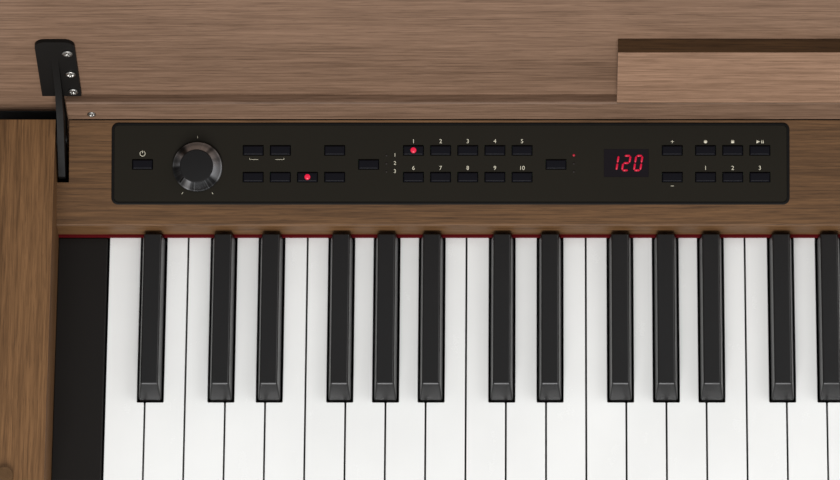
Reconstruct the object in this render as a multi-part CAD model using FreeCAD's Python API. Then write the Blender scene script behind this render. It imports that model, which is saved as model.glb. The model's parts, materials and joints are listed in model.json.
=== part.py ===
import FreeCAD, Part
import math
import os

# A slim home digital piano of 88 keys on its own stand, drawn with the key cover open.
# X runs along the keys, Y from the player to the wall, Z up from the floor.
# Depths are counted from the line where the keys vanish under the panel, heights from the
# tops of the white keys, and both are moved to the floor and the middle at the end.

# Heights
key_top_height = 721.0
arm_top = 44.0
arm_bottom = -62.0
lid_gap = 3.0
bumper_play = 0.1
lid_thickness = 17.0

# Keyboard
white_pitch = 23.5
white_count = 52
key_gap = 1.0
white_length = 152.0
key_tail = 48.0
key_depth = 14.0
white_lip_depth = 20.0
key_stop_drop = 10.4
stop_rail_depth = 20.0
stop_rail_inset = 4.0
white_lip_length = 40.0
black_length = 102.0
black_width = 13.2
black_top_width = 10.2
black_height = 12.0
black_shoulder = 1.5
black_side_gap = 1.2
black_nose_run = 6.5
black_lever_width = 9.0
black_cap_drop = 3.0
black_back_gap = 1.0
black_lever_inset = 2.0
white_lip_slope = 6.0
shelf_gap = 1.2
shelf_front = 12.0
shelf_back = 10.0
frame_base = 5.0
pivot_back = 40.0
pivot_drop = 9.3
pivot_play = 0.3
groove_half = 4.5
ridge_half = 2.2
white_names = ["a", "b", "c", "d", "e", "f", "g"]
black_offsets = {"a": 3.2, "c": -2.4, "d": 2.4, "f": -3.3, "g": 0.0}

# Case
side_thickness = 45.3
block_width = 29.0
block_play = 0.7
block_top = 2.0
slip_gap = 1.5
slip_thickness = 16.0
slip_top = -4.0
keybed_thickness = 18.0
fall_front_height = 18.0
fall_lip_bottom = 3.0
fall_depth = 60.0
fall_slope = 15.7
fall_board = 12.0
fall_edge_round = 1.5
felt_front = 1.5
felt_depth = 6.0
felt_bottom = 0.8
felt_clearance = 0.3
rear_panel_front = 106.5
rear_panel_thickness = 9.0
arm_rear = 57.0
arm_step = -28.0
edge_round = 3.0

# Stand
leg_thickness = 32.0
leg_depth = 135.0
foot_height = 45.0
foot_round = 30.0
pad_thickness = 3.0
pad_radius = 12.0
pad_inset = 30.0
back_board_thickness = 16.0
back_board_height = 380.0
back_board_inset = 12.0

# Pedals
beam_height = 88.0
beam_depth = 62.0
beam_front = 25.0
pedal_count = 3
pedal_pitch = 62.0
pedal_width = 18.0
pedal_tip_width = 26.0
pedal_thickness = 8.0
pedal_reach = 72.0
pedal_pocket_play = 3.0
pedal_pocket_depth = 52.0
pedal_pocket_height = 34.0
pedal_height = 72.0
pedal_axis_inset = 40.0
pedal_tail = 8.0
pedal_neck_run = 41.6
pedal_pin_radius = 3.0
pedal_boss_wall = 4.0
running_play = 0.06

# Lid and its brackets
lid_open_lean = 10.0
lid_pivot_back = 50.0
lid_pivot_up = 31.1
lid_tail = 44.0
lid_edge_round = 2.5
strip_low = 6.9
strip_width = 17.0
strip_thickness = 6.0
strip_end_inset = 6.7
bracket_plate_low = 26.0
bracket_plate_length = 60.0
bracket_plate_width = 23.0
bracket_plate_outboard = 7.3
bracket_plate_thickness = 2.5
bracket_corner = 6.0
bracket_thickness = 4.0
pin_radius = 3.0
pin_flange_radius = 6.0
pin_flange = 1.0
slot_width = 7.2
slot_start = 24.6
bumper_radius = 5.0
bumper_inset = 7.0
strip_edge_round = 1.5
bracket_foot = 30.0
bracket_foot_setback = 18.0
bracket_tail_reach = 40.0
bracket_tail_drop = 22.0
bracket_tail_width = 18.0
bracket_tail_end = 7.0
bracket_neck_start = 6.0
bracket_neck_end = 12.0
bracket_play = 0.2
pin_end = 1.0

# Music rest
rest_width = 622.0
rest_length = 60.0
rest_thickness = 9.0
rest_stand_off = 0.5
rest_above_strip = 2.5
ear_count = 2
ear_pitch = 420.0
ear_width = 10.0
ear_notch_play = 1.0
ear_radius = 2.8
ear_skin = 1.2
ear_pin_radius = 1.5
ear_pin_bite = 9.0

# Control panel
panel_right_margin = 16.0
panel_height = 45.4
panel_left_inset = 33.7
panel_front_margin = 14.0
panel_corner = 2.5
panel_thickness = 3.0
panel_proud = 0.6
panel_pocket_depth = 9.0
board_thickness = 1.6
board_drop = 3.2
board_margin = 2.0
post_half = 2.5
post_inset = 5.0
button_travel = 0.8
switch_gap = 0.1
switch_width = 6.0
switch_depth = 4.4
pot_width = 14.0
pot_gap = 0.3
panel_play = 0.2
window_play = 0.1
lamp_proud = 0.6
button_bevel = 0.6
column_pitch = 16.0
power_column = 16.8
knob_gap = 32.4
mode_gap = 32.8
bank_gap = 20.0
tone_gap = 26.4
display_gap = 20.0
window_gap = 41.4
value_gap = 27.1
transport_gap = 19.6
mode_count = 4
tone_count = 5
transport_count = 3
upper_row = 30.5
middle_row = 22.2
lower_row = 14.7
button_width = 11.8
button_depth = 5.6
button_proud = 0.9
button_play = 0.3
button_stem = 1.6
window_row = 23.0
window_width = 26.4
window_depth = 16.5
window_thickness = 1.2
lamp_size = 1.8
lamp_rows = (27.6, 22.8, 18.0)
lamp_gap = 10.5
knob_row = 20.6
knob_radius = 14.6
knob_top_radius = 9.0
knob_rim = 1.6
knob_height = 9.0
knob_lift = 0.4
knob_shaft_radius = 3.0
knob_shaft_hole = 3.5
knob_shaft_reach = 4.0
knob_top_round = 0.8
knob_groove_depth = 0.7
knob_pointer_width = 1.4

# Sound and connections
speaker_centre = 420.0
speaker_setback = -10.0
speaker_box_width = 230.0
speaker_box_depth = 120.0
speaker_box_height = 58.0
speaker_wall = 8.0
speaker_radius = 48.0
speaker_rim = 3.0
cone_depth = 20.0
magnet_radius = 26.0
magnet_height = 12.0
surround_width = 6.0
dome_radius = 12.0
dome_height = 5.0
cone_wall = 4.0
grille_thickness = 2.0
grille_slot = 4.0
grille_pitch = 9.0
grille_slots = 9
grille_reach = 84.0
jack_box_width = 70.0
jack_box_depth = 48.0
jack_box_height = 26.0
jack_box_inset = 30.0
jack_pitch = 32.0
jack_radius = 3.25
jack_length = 30.0
jack_collar_radius = 7.0
jack_collar = 1.5
inlet_width = 24.0
inlet_height = 16.0
inlet_length = 18.0
inlet_radius = 2.75
inlet_bore = 14.0
inlet_nose_radius = 6.0
inlet_nose_play = 0.3
inlet_from_centre = 250.0
main_board_length = 260.0
main_board_depth = 34.0
main_board_lift = 4.0
chip_width = 18.0
chip_height = 3.0
chip_inset = 8.0
chip_pitch = 60.0
chip_count = 3
main_board_setback = 18.0
main_post_inset = 5.0

# Worked-out places
keys_half = white_pitch * white_count / 2
wall = keys_half + block_play + block_width
outer = wall + side_thickness
front = -(white_length + slip_gap + slip_thickness)
keybed_top = arm_bottom + keybed_thickness
rear = rear_panel_front + rear_panel_thickness
lean = math.radians(lid_open_lean)
slope = math.radians(fall_slope)
lid_under = arm_top + lid_gap
lid_offset = lid_under - lid_pivot_up
lid_rear_edge = lid_pivot_back + lid_tail
lid_length = lid_rear_edge - front
foot_y = lid_pivot_back + lid_offset * math.cos(lean)
foot_z = lid_pivot_up - lid_offset * math.sin(lean)
lid_reach = lid_length - lid_tail
lid_rearmost = foot_y + lid_reach * math.sin(lean) + lid_thickness * math.cos(lean)
middle_y = (front + max(rear, lid_rearmost)) / 2
floor_z = -key_top_height
fall_rear_height = fall_front_height + fall_depth * math.tan(slope)
rest_low = strip_low + strip_width + rest_above_strip
inlet_z = keybed_top + inlet_height / 2
knob_column = power_column + knob_gap
left_column = knob_column + mode_gap
bank_column = left_column + (mode_count - 1) * column_pitch + bank_gap
tone_column = bank_column + tone_gap
display_column = tone_column + (tone_count - 1) * column_pitch + display_gap
window_column = display_column + window_gap
value_column = window_column + value_gap
right_column = value_column + transport_gap
panel_width = right_column + (transport_count - 1) * column_pitch + panel_right_margin
panel_under = panel_proud - panel_thickness
board_top = panel_under - board_drop
button_low = panel_under - button_stem
knob_low = panel_proud - knob_shaft_reach


def box(x0, x1, y0, y1, z0, z1):
    return Part.makeBox(x1 - x0, y1 - y0, z1 - z0, FreeCAD.Vector(x0, y0, z0))


def profile(points, x0, x1):
    """A closed outline of (y, z) points, drawn out along X."""
    corners = [FreeCAD.Vector(x0, y, z) for y, z in points]
    wire = Part.makePolygon(corners + corners[:1])
    return Part.Face(wire).extrude(FreeCAD.Vector(x1 - x0, 0, 0))


def rod(centre, axis, radius, length):
    return Part.makeCylinder(radius, length, FreeCAD.Vector(*centre), FreeCAD.Vector(*axis))


def fuse(shapes):
    return shapes[0].multiFuse(shapes[1:]).removeSplitter() if len(shapes) > 1 else shapes[0]


def group(shapes):
    return Part.makeCompound(shapes)


def mirrored(shape):
    return shape.mirror(FreeCAD.Vector(0, 0, 0), FreeCAD.Vector(1, 0, 0))


def pair(shape):
    return [mirrored(shape), shape]


def round_edges(shape, radius, wanted):
    edges = [e for e in shape.Edges if wanted(e)]
    return shape.makeFillet(radius, edges) if edges else shape


def along_x(edge):
    ends = [v.Point for v in edge.Vertexes]
    return len(ends) == 2 and abs(ends[0].y - ends[1].y) < 1e-6 and abs(ends[0].z - ends[1].z) < 1e-6


def lid_point(up, inward):
    """A point on the open lid: up along it from the pivot's foot, inward from its inner face."""
    y = foot_y + up * math.sin(lean) - inward * math.cos(lean)
    z = foot_z + up * math.cos(lean) + inward * math.sin(lean)
    return y, z


def lid_prism(outline, x0, x1):
    return profile([lid_point(up, inward) for up, inward in outline], x0, x1)


def panel_place(column, row, lift=0.0):
    """A point over the control panel, from its left front corner, lifted off the sloped top."""
    along = panel_front_margin + row
    x = -wall + panel_left_inset + column
    y = along * math.cos(slope) - lift * math.sin(slope)
    z = fall_front_height + along * math.sin(slope) + lift * math.cos(slope)
    return FreeCAD.Vector(x, y, z)


def on_panel(shape, column, row, lift=0.0):
    """A shape drawn flat about the origin, laid on the sloped panel."""
    placed = shape.copy()
    turn = FreeCAD.Rotation(FreeCAD.Vector(1, 0, 0), fall_slope)
    placed.Placement = FreeCAD.Placement(panel_place(column, row, lift), turn)
    return placed


def flat_box(width, depth, z0, z1):
    return box(-width / 2, width / 2, -depth / 2, depth / 2, z0, z1)


def save(name, shape):
    moved = shape.copy()
    moved.translate(FreeCAD.Vector(0, -middle_y, key_top_height))
    moved.exportStep("parts/" + name + ".step")


# Arms that carry the keybed and the closed lid
def arm():
    outline = [
        (front, arm_bottom), (front, arm_top), (arm_rear, arm_top),
        (arm_rear, arm_step), (rear_panel_front, arm_step), (rear_panel_front, arm_bottom),
    ]
    body = profile(outline, wall, outer)
    return round_edges(
        body, edge_round,
        lambda e: along_x(e) and abs(e.Vertexes[0].Point.y - front) < 1e-6,
    )


# Legs, feet and pads of the stand
def leg():
    return box(outer - leg_thickness, outer, rear - leg_depth, rear, foot_top, arm_bottom)


def foot():
    body = box(wall, outer, front, rear, floor_z + pad_thickness, foot_top)
    return round_edges(
        body, foot_round,
        lambda e: along_x(e) and e.Vertexes[0].Point.y < front + 1 and e.Vertexes[0].Point.z > foot_top - 1,
    )


def floor_pads():
    x = wall + side_thickness / 2
    places = [front + pad_inset, rear - pad_inset]
    pads = [rod((x, y, floor_z), (0, 0, 1), pad_radius, pad_thickness) for y in places]
    return group([s for pad in pads for s in pair(pad)])


def stand_back():
    y1 = rear - back_board_inset
    z0 = arm_bottom - back_board_height
    span = outer - leg_thickness
    return box(-span, span, y1 - back_board_thickness, y1, z0, arm_bottom)


foot_top = floor_z + pad_thickness + foot_height


# Pedal beam with one pocket and pin for each pedal
def pedal_centres():
    return [(n - (pedal_count - 1) / 2) * pedal_pitch for n in range(pedal_count)]


pedal_z = floor_z + pad_thickness + pedal_height
pedal_axis_y = beam_front + pedal_axis_inset


def pedal_beam():
    span = outer - leg_thickness
    y1 = beam_front + beam_depth
    z0 = floor_z + pad_thickness + foot_height
    body = box(-span, span, beam_front, y1, z0, z0 + beam_height)
    half = pedal_width / 2 + pedal_pocket_play
    low = pedal_z - pedal_pocket_height / 2 + pedal_thickness / 2
    for x in pedal_centres():
        pocket = box(x - half, x + half, beam_front - 1, beam_front + pedal_pocket_depth,
                     low, low + pedal_pocket_height)
        body = body.cut(pocket)
        pin = rod((x - half - 1, pedal_axis_y, pedal_z), (1, 0, 0), pedal_pin_radius, 2 * half + 2)
        body = body.fuse(pin)
    return body


def pedal(x):
    tip_y = beam_front - pedal_reach
    half = pedal_width / 2
    tip = pedal_tip_width / 2
    z0 = pedal_z - pedal_thickness / 2
    neck_y = tip_y + pedal_neck_run
    corners = [
        FreeCAD.Vector(x - half, pedal_axis_y + pedal_tail, z0),
        FreeCAD.Vector(x - half, neck_y, z0),
        FreeCAD.Vector(x - tip, tip_y + tip, z0),
        FreeCAD.Vector(x, tip_y, z0),
        FreeCAD.Vector(x + tip, tip_y + tip, z0),
        FreeCAD.Vector(x + half, neck_y, z0),
        FreeCAD.Vector(x + half, pedal_axis_y + pedal_tail, z0),
    ]
    edges = [
        Part.LineSegment(corners[0], corners[1]).toShape(),
        Part.LineSegment(corners[1], corners[2]).toShape(),
        Part.Arc(corners[2], corners[3], corners[4]).toShape(),
        Part.LineSegment(corners[4], corners[5]).toShape(),
        Part.LineSegment(corners[5], corners[6]).toShape(),
        Part.LineSegment(corners[6], corners[0]).toShape(),
    ]
    blade = Part.Face(Part.Wire(edges)).extrude(FreeCAD.Vector(0, 0, pedal_thickness))
    boss = rod((x - half, pedal_axis_y, pedal_z), (1, 0, 0), pedal_pin_radius + pedal_boss_wall, pedal_width)
    hole = rod((x - half - 1, pedal_axis_y, pedal_z), (1, 0, 0), pedal_pin_radius + running_play,
               pedal_width + 2)
    return blade.fuse(boss).cut(hole)


# Case boards between the arms
def keybed():
    return box(-wall, wall, front + slip_thickness, rear_panel_front, arm_bottom, keybed_top)


def key_slip():
    body = box(-wall, wall, front, front + slip_thickness, arm_bottom, slip_top)
    return round_edges(
        body, edge_round,
        lambda e: along_x(e) and e.Vertexes[0].Point.y < front + 1 and e.Vertexes[0].Point.z > slip_top - 1,
    )


def rear_panel():
    body = box(-outer, outer, rear_panel_front, rear, arm_bottom, lid_under + lid_thickness)
    hole = rod((inlet_from_centre, rear_panel_front - 1, inlet_z), (0, 1, 0), inlet_nose_radius,
               rear_panel_thickness + 2)
    return body.cut(hole)


def fallboard():
    under = fall_board / math.cos(slope)
    lip_z = fall_front_height - under + fall_board * math.tan(slope)
    outline = [
        (0, fall_lip_bottom), (0, fall_front_height), (fall_depth, fall_rear_height),
        (fall_depth, fall_rear_height - under), (fall_board, lip_z), (fall_board, fall_lip_bottom),
    ]
    body = profile(outline, -wall, wall)
    body = round_edges(
        body, fall_edge_round,
        lambda e: along_x(e) and e.Vertexes[0].Point.y < 1 and e.Vertexes[0].Point.z > fall_front_height - 1,
    )
    pocket = rounded_panel(panel_width, panel_height, -panel_pocket_depth, 5)
    body = body.cut(on_panel(pocket, panel_width / 2, panel_height / 2))
    slot = box(wall - slot_width, wall + 1, slot_start, fall_depth + 1, 0, arm_top)
    for cutter in pair(slot):
        body = body.cut(cutter)
    return body


def rounded_panel(width, depth, z0, z1):
    body = flat_box(width, depth, z0, z1)
    return round_edges(
        body, panel_corner,
        lambda e: abs(e.Vertexes[0].Point.z - e.Vertexes[1].Point.z) > abs(z1 - z0) / 2,
    )


def end_block():
    back = -felt_front - felt_clearance
    return box(keys_half + block_play, wall, -white_length, back, keybed_top, block_top)


def felt_strip():
    return box(-wall, wall, -felt_front, felt_depth, felt_bottom, fall_lip_bottom)


# Key frame: base, rear fulcrum ridge and front rest rail
def key_frame():
    base = keybed_top
    shelf = -key_depth - shelf_gap
    ledge = pivot_back - shelf_front
    rail = -white_length + stop_rail_inset
    stop = -white_lip_depth - key_stop_drop
    outline = [
        (rail, base), (rail, stop), (rail + stop_rail_depth, stop),
        (rail + stop_rail_depth, base + frame_base), (ledge, base + frame_base), (ledge, shelf),
        (pivot_back - ridge_half, shelf), (pivot_back, -pivot_drop), (pivot_back + ridge_half, shelf),
        (pivot_back + shelf_back, shelf), (pivot_back + shelf_back, base),
    ]
    return profile(outline, -keys_half, keys_half)


# Keys
def key_side(length, lip):
    top_of_groove = -pivot_drop + pivot_play
    points = [(-length, 0), (key_tail, 0), (key_tail, -key_depth)]
    points += [(pivot_back + groove_half, -key_depth), (pivot_back, top_of_groove)]
    points += [(pivot_back - groove_half, -key_depth)]
    if lip:
        lip_back = -length + white_lip_length
        points += [(lip_back, -key_depth), (lip_back - white_lip_slope, -white_lip_depth)]
        points += [(-length, -white_lip_depth)]
    else:
        points += [(-length, -key_depth)]
    return points


def white_name(index):
    return white_names[index % len(white_names)]


def white_edge(index):
    return -keys_half + index * white_pitch


def black_centre(index):
    """The sharp to the right of white key number index, or None where there is none."""
    name = white_name(index)
    if name not in black_offsets or index + 1 >= white_count:
        return None
    return white_edge(index + 1) + black_offsets[name]


def white_key(index):
    x0 = white_edge(index) + key_gap / 2
    x1 = white_edge(index + 1) - key_gap / 2
    body = profile(key_side(white_length, True), x0, x1)
    notch = black_width / 2 + black_side_gap
    start = -black_length - black_side_gap
    for centre in (black_centre(index - 1) if index else None, black_centre(index)):
        if centre is not None:
            cutter = box(centre - notch, centre + notch, start, key_tail + 1, -white_lip_depth - 1, 1)
            body = body.cut(cutter)
    return body


def rectangle(x, half, y0, y1, z):
    corners = [(x - half, y0), (x + half, y0), (x + half, y1), (x - half, y1)]
    points = [FreeCAD.Vector(a, b, z) for a, b in corners]
    return Part.makePolygon(points + points[:1])


def black_key(centre):
    back = -felt_front - black_back_gap
    lower = rectangle(centre, black_width / 2, -black_length, back, black_shoulder)
    upper = rectangle(centre, black_top_width / 2, -black_length + black_nose_run, back, black_height)
    cap = Part.makeLoft([lower, upper], True, True)
    skirt = box(centre - black_width / 2, centre + black_width / 2, -black_length, back,
                -black_cap_drop, black_shoulder)
    half = black_lever_width / 2
    lever = profile(key_side(black_length - black_lever_inset, False), centre - half, centre + half)
    return fuse([cap, skirt, lever])


def key_groups():
    groups = {}
    for index in range(white_count):
        name = white_name(index)
        groups.setdefault("keys_" + name, []).append(white_key(index))
        centre = black_centre(index)
        if centre is not None:
            groups.setdefault("keys_" + name + "_sharp", []).append(black_key(centre))
    return groups


# Control panel and what sits in it
button_places = {
    "power_button": [(power_column, middle_row)],
    "mode_buttons": [(left_column + n * column_pitch, upper_row) for n in (0, 1, mode_count - 1)],
    "effect_buttons": [(left_column + n * column_pitch, lower_row) for n in range(mode_count)],
    "bank_button": [(bank_column, middle_row)],
    "tone_buttons_upper": [(tone_column + n * column_pitch, upper_row) for n in range(tone_count)],
    "tone_buttons_lower": [(tone_column + n * column_pitch, lower_row) for n in range(tone_count)],
    "display_button": [(display_column, middle_row)],
    "value_up_button": [(value_column, upper_row)],
    "value_down_button": [(value_column, lower_row)],
    "transport_buttons": [(right_column + n * column_pitch, upper_row) for n in range(transport_count)],
    "part_buttons": [(right_column + n * column_pitch, lower_row) for n in range(transport_count)],
}


def control_panel():
    low = panel_proud - panel_thickness
    plate = rounded_panel(panel_width - 2 * panel_play, panel_height - 2 * panel_play, low, panel_proud)
    body = on_panel(plate, panel_width / 2, panel_height / 2)
    hole = flat_box(button_width + 2 * button_play, button_depth + 2 * button_play, low - 1, panel_proud + 1)
    cutters = [on_panel(hole, c, r) for places in button_places.values() for c, r in places]
    seat = flat_box(window_width, window_depth, panel_proud - window_thickness, panel_proud + 1)
    cutters.append(on_panel(seat, window_column, window_row))
    shaft = Part.makeCylinder(knob_shaft_hole, panel_thickness + 2, FreeCAD.Vector(0, 0, low - 1))
    cutters.append(on_panel(shaft, knob_column, knob_row))
    return body.cut(group(cutters))


def display_window():
    low = panel_proud - window_thickness
    pane = flat_box(window_width - 2 * window_play, window_depth - 2 * window_play, low, panel_proud)
    return on_panel(pane, window_column, window_row)


def panel_lamps():
    lamp = flat_box(lamp_size, lamp_size, panel_proud, panel_proud + lamp_proud)
    columns = (bank_column + lamp_gap, display_column + lamp_gap)
    return group([on_panel(lamp, c, r) for c in columns for r in lamp_rows])


def panel_board():
    """The board under the buttons, with its posts, a switch under each button and the volume control."""
    top = board_top
    low = top - board_thickness
    half_x = panel_width / 2 - board_margin
    half_y = panel_height / 2 - board_margin
    pieces = [flat_box(2 * half_x, 2 * half_y, low, top)]
    for x in (post_inset - half_x, 0, half_x - post_inset):
        for y in (post_inset - half_y, half_y - post_inset):
            pieces.append(box(x - post_half, x + post_half, y - post_half, y + post_half, -panel_pocket_depth, low))
    board = on_panel(fuse(pieces), panel_width / 2, panel_height / 2)
    switch = flat_box(switch_width, switch_depth, top, button_low - button_travel - switch_gap)
    switches = [on_panel(switch, c, r) for places in button_places.values() for c, r in places]
    pot = flat_box(pot_width, pot_width, top, panel_under - pot_gap)
    seat = Part.makeCylinder(knob_shaft_radius + running_play, knob_shaft_reach,
                             FreeCAD.Vector(0, 0, knob_low - pot_gap))
    return board.multiFuse(switches + [on_panel(pot.cut(seat), knob_column, knob_row)])


def button(column, row):
    cap = flat_box(button_width, button_depth, button_low, panel_proud + button_proud)
    top = panel_proud + button_proud
    rim = [e for e in cap.Edges if min(v.Point.z for v in e.Vertexes) > top - 1e-6]
    cap = cap.makeChamfer(button_bevel, rim)
    return on_panel(cap, column, row)


def volume_knob():
    base = panel_proud + knob_lift
    top = base + knob_height
    points = [
        FreeCAD.Vector(0, 0, base), FreeCAD.Vector(knob_radius, 0, base),
        FreeCAD.Vector(knob_radius, 0, base + knob_rim),
        FreeCAD.Vector(knob_top_radius + knob_top_round, 0, top - knob_top_round),
        FreeCAD.Vector(knob_top_radius, 0, top), FreeCAD.Vector(0, 0, top),
    ]
    face = Part.Face(Part.makePolygon(points + points[:1]))
    body = face.revolve(FreeCAD.Vector(0, 0, 0), FreeCAD.Vector(0, 0, 1), 360)
    shaft = Part.makeCylinder(knob_shaft_radius, base - knob_low, FreeCAD.Vector(0, 0, knob_low))
    half = knob_pointer_width / 2
    groove = box(-half, half, knob_top_radius / 4, knob_radius, top - knob_groove_depth, top + 1)
    return on_panel(body.fuse(shaft).cut(groove), knob_column, knob_row)


# Lid, strip, brackets, rest
def lid():
    outline = [
        (-lid_tail, 0), (lid_reach, 0), (lid_reach, -lid_thickness), (-lid_tail, -lid_thickness),
    ]
    body = lid_prism(outline, -outer, outer)
    return round_edges(body, lid_edge_round, along_x)


def lid_strip():
    outline = [
        (strip_low, 0), (strip_low + strip_width, 0),
        (strip_low + strip_width, strip_thickness), (strip_low, strip_thickness),
    ]
    span = wall - strip_end_inset
    body = lid_prism(outline, -span, span)
    top_y, top_z = lid_point(strip_low + strip_width, strip_thickness)
    corner = FreeCAD.Vector(-span, top_y, top_z)
    return round_edges(body, strip_edge_round, lambda e: along_x(e) and e.distToShape(Part.Vertex(corner))[0] < 1e-3)


def lid_bracket():
    """A plate screwed to the lid, a web round the pivot and a tail that hooks back under the panel."""
    x1 = wall - pin_flange - bracket_play
    x0 = x1 - bracket_thickness
    low = bracket_plate_low
    high = low + bracket_plate_length
    foot = low - bracket_foot
    tail = low - bracket_tail_reach
    skin = bracket_plate_thickness
    shoulder = high - bracket_foot_setback
    deep = lid_offset + bracket_tail_drop
    outline = [
        (shoulder, 0), (foot, 0), (foot - 3, lid_offset / 2), (foot - 4, lid_offset - 1),
        (tail, deep - bracket_tail_end), (tail + 3, deep - 1), (tail + bracket_tail_end, deep),
        (tail + bracket_tail_width, deep - bracket_tail_width / 2), (low - bracket_neck_start, lid_offset - 1),
        (low + bracket_neck_end, skin + 4), (shoulder, skin),
    ]
    web = lid_prism(outline, x0, x1)
    pivot_hole = rod((x0 - 1, lid_pivot_back, lid_pivot_up), (1, 0, 0), pin_radius + running_play,
                     bracket_thickness + 2)
    flange = lid_prism(
        [(low, 0), (high, 0), (high, skin), (low, skin)],
        wall + bracket_plate_outboard - bracket_plate_width, wall + bracket_plate_outboard,
    )
    tip_y, tip_z = lid_point(high, 0)
    flange = round_edges(
        flange, bracket_corner,
        lambda e: not along_x(e) and all(
            abs((v.Point.y - tip_y) * math.sin(lean) + (v.Point.z - tip_z) * math.cos(lean)) < 1e-3
            for v in e.Vertexes),
    )
    return fuse([web, flange]).cut(pivot_hole)


def lid_pivot():
    flange = rod((wall - pin_flange, lid_pivot_back, lid_pivot_up), (1, 0, 0), pin_flange_radius, pin_flange)
    length = pin_flange + bracket_thickness + pin_end
    pin = rod((wall - length, lid_pivot_back, lid_pivot_up), (1, 0, 0), pin_radius, length)
    return flange.fuse(pin)


def lid_bumper():
    x = wall + side_thickness / 2
    return rod((x, front + bumper_inset, arm_top), (0, 0, 1), bumper_radius, lid_gap - bumper_play)


rest_axis_up = rest_low + rest_thickness / 2
rest_axis_in = rest_stand_off + rest_thickness / 2


def ear_places():
    return [(n - (ear_count - 1) / 2) * ear_pitch for n in range(ear_count)]


def music_rest():
    half = rest_width / 2
    near = rest_stand_off
    far = rest_stand_off + rest_thickness
    high = rest_low + rest_length
    leaf = lid_prism([(rest_axis_up, near), (high, near), (high, far), (rest_axis_up, far)], -half, half)
    y, z = lid_point(rest_axis_up, rest_axis_in)
    nose = rod((-half, y, z), (1, 0, 0), rest_thickness / 2, rest_width)
    body = fuse([leaf, nose])
    gap = ear_width / 2 + ear_notch_play
    up = rest_axis_up + rest_thickness / 2 + 1
    for x in ear_places():
        low = rest_low - 1
        skin = far - ear_skin
        notch = lid_prism([(low, near - 1), (up, near - 1), (up, skin), (low, skin)], x - gap, x + gap)
        bore = rod((x - gap - ear_pin_bite - 0.5, y, z), (1, 0, 0), ear_pin_radius + running_play,
                   2 * (gap + ear_pin_bite + 0.5))
        body = body.cut(notch).cut(bore)
    return body


def rest_ears():
    y, z = lid_point(rest_axis_up, rest_axis_in)
    ears = []
    for x in ear_places():
        neck = lid_prism(
            [(rest_axis_up - ear_radius, 0), (rest_axis_up + ear_radius, 0),
             (rest_axis_up + ear_radius, rest_axis_in), (rest_axis_up - ear_radius, rest_axis_in)],
            x - ear_width / 2, x + ear_width / 2)
        eye = rod((x - ear_width / 2, y, z), (1, 0, 0), ear_radius, ear_width)
        reach = ear_width / 2 + ear_notch_play + ear_pin_bite
        pin = rod((x - reach, y, z), (1, 0, 0), ear_pin_radius, 2 * reach)
        ears.append(fuse([neck, eye, pin]))
    return group(ears)


# Speakers under the keybed
def speaker_box():
    y0 = speaker_setback - speaker_box_depth / 2
    x0 = speaker_centre - speaker_box_width / 2
    x1 = x0 + speaker_box_width
    y1 = y0 + speaker_box_depth
    low = arm_bottom - speaker_box_height
    wide = speaker_wall
    inside = box(x0 + wide, x1 - wide, y0 + wide, y1 - wide, low - 1, arm_bottom - wide)
    return box(x0, x1, y0, y1, low, arm_bottom).cut(inside)


def speaker_driver():
    z = arm_bottom - speaker_wall
    low = z - magnet_height - cone_depth
    profile_points = [
        (0, z), (magnet_radius, z), (magnet_radius, z - magnet_height), (speaker_radius, low + speaker_rim),
        (speaker_radius, low), (speaker_radius - surround_width, low),
        (dome_radius, z - magnet_height - cone_wall), (0, z - magnet_height - cone_wall - dome_height),
    ]
    points = [FreeCAD.Vector(r, 0, h) for r, h in profile_points]
    face = Part.Face(Part.makePolygon(points + points[:1]))
    body = face.revolve(FreeCAD.Vector(0, 0, 0), FreeCAD.Vector(0, 0, 1), 360)
    body.translate(FreeCAD.Vector(speaker_centre, speaker_setback, 0))
    return body


def speaker_grille():
    y0 = speaker_setback - speaker_box_depth / 2
    x0 = speaker_centre - speaker_box_width / 2
    z1 = arm_bottom - speaker_box_height
    body = box(x0, x0 + speaker_box_width, y0, y0 + speaker_box_depth, z1 - grille_thickness, z1)
    slots = []
    for n in range(grille_slots):
        y = speaker_setback + (n - (grille_slots - 1) / 2) * grille_pitch
        slots.append(box(speaker_centre - grille_reach, speaker_centre + grille_reach, y - grille_slot / 2,
                         y + grille_slot / 2, z1 - grille_thickness - 1, z1 + 1))
    return body.cut(group(slots))


# Sockets and boards
def jack_box():
    x1 = -wall + jack_box_inset + jack_box_width
    y0 = front + slip_thickness
    low = arm_bottom - jack_box_height
    body = box(x1 - jack_box_width, x1, y0, y0 + jack_box_depth, low, arm_bottom)
    for n in (-1, 1):
        x = x1 - jack_box_width / 2 + n * jack_pitch / 2
        z = arm_bottom - jack_box_height / 2
        body = body.fuse(rod((x, y0 - jack_collar, z), (0, 1, 0), jack_collar_radius, jack_collar + 1))
        body = body.cut(rod((x, y0 - jack_collar - 1, z), (0, 1, 0), jack_radius, jack_length + 1))
    return body


def power_inlet():
    x = inlet_from_centre
    body = box(x - inlet_width / 2, x + inlet_width / 2, rear_panel_front - inlet_length, rear_panel_front,
               keybed_top, keybed_top + inlet_height)
    nose = rod((x, rear_panel_front - 1, inlet_z), (0, 1, 0), inlet_nose_radius - inlet_nose_play,
               rear_panel_thickness + 1)
    return body.fuse(nose).cut(rod((x, rear + 1, inlet_z), (0, -1, 0), inlet_radius, inlet_bore + 1))


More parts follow.
